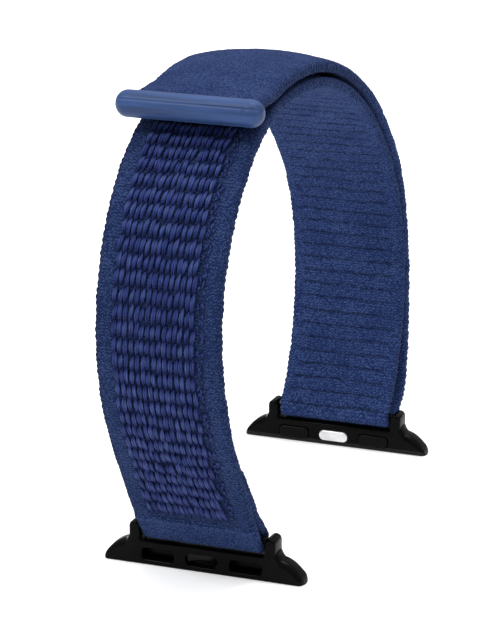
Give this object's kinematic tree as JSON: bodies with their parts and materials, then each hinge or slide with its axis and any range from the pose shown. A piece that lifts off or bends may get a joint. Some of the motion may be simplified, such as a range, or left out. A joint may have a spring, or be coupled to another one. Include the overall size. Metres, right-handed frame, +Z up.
{
  "type": "hook-and-loop watch strap",
  "caption": "Woven hook-and-loop wrist strap standing as a closed loop, with a capsule end tab and a slide-in lug at each end.",
  "frame": {"origin": "middle of the whole strap's footprint, at the base of the two lugs", "axes": "+X across the strap, +Y from the fixed lug to the slide lug, +Z up to the crown"},
  "size_m": [0.033, 0.0908, 0.0762],
  "materials": {
    "webbing": "fine woven nylon, blue",
    "pressed_webbing": "heat-pressed smooth nylon, blue",
    "loop_pile": "loop pile in cross rows, blue",
    "hook": "fine hooks",
    "tab_plastic": "satin, light steel blue",
    "lug_black": "satin black",
    "pin_steel": "satin",
    "pad_rubber": "matte",
    "button_steel": "satin",
    "leaf_steel": "bright"
  },
  "bodies": {
    "band": {"shoulder_webbing": "webbing", "shoulder_pile": "loop_pile", "rear_webbing": "webbing", "rear_pile": "loop_pile", "slide_turn": "webbing", "return_webbing": "webbing"},
    "front_leg": {"front_leg_webbing": "webbing", "front_leg_pile": "loop_pile", "fixed_wrap": "pressed_webbing", "fixed_tail": "pressed_webbing"},
    "flap": {"flap_webbing": "webbing", "hook_patch": "hook", "tab_cap": "tab_plastic", "tab_base": "tab_plastic"},
    "fixed_lug": {"fixed_lug_frame": "lug_black", "fixed_cross_pin": "pin_steel", "fixed_pad_left": "pad_rubber", "fixed_pad_right": "pad_rubber", "fixed_leaf_spring": "leaf_steel"},
    "fixed_button": {"fixed_button": "button_steel"},
    "slide_lug": {"slide_lug_frame": "lug_black", "slide_bar": "pin_steel", "slide_pad_left": "pad_rubber", "slide_pad_right": "pad_rubber", "slide_leaf_spring": "leaf_steel"},
    "slide_button": {"slide_button": "button_steel"}
  },
  "joints": [
    {"name": "front_bend", "type": "hinge", "parent": "band", "child": "front_leg", "pos_m": [0, -0.04348, 0.03754], "axis": [1, 0, 0], "range_deg": [-20, 20], "stiffness_Nm_per_rad": 0.15},
    {"name": "flap_peel", "type": "hinge", "parent": "band", "child": "flap", "pos_m": [0, 0.02204, 0.0664], "axis": [-1, 0, 0], "range_deg": [0, 75]},
    {"name": "fixed_lug_pivot", "type": "hinge", "parent": "front_leg", "child": "fixed_lug", "pos_m": [0, -0.02624, 0.006], "axis": [1, 0, 0], "range_deg": [-30, 30]},
    {"name": "slide_lug_pivot", "type": "hinge", "parent": "band", "child": "slide_lug", "pos_m": [0, 0.03506, 0.006], "axis": [1, 0, 0], "range_deg": [-40, 4]},
    {"name": "fixed_button_press", "type": "slide", "parent": "fixed_lug", "child": "fixed_button", "axis": [0, -1, 0], "range_m": [0, 0.0005], "stiffness_N_per_m": 400, "springref_m": -0.0005},
    {"name": "slide_button_press", "type": "slide", "parent": "slide_lug", "child": "slide_button", "axis": [0, 1, 0], "range_m": [0, 0.0005], "stiffness_N_per_m": 400, "springref_m": -0.0005}
  ]
}
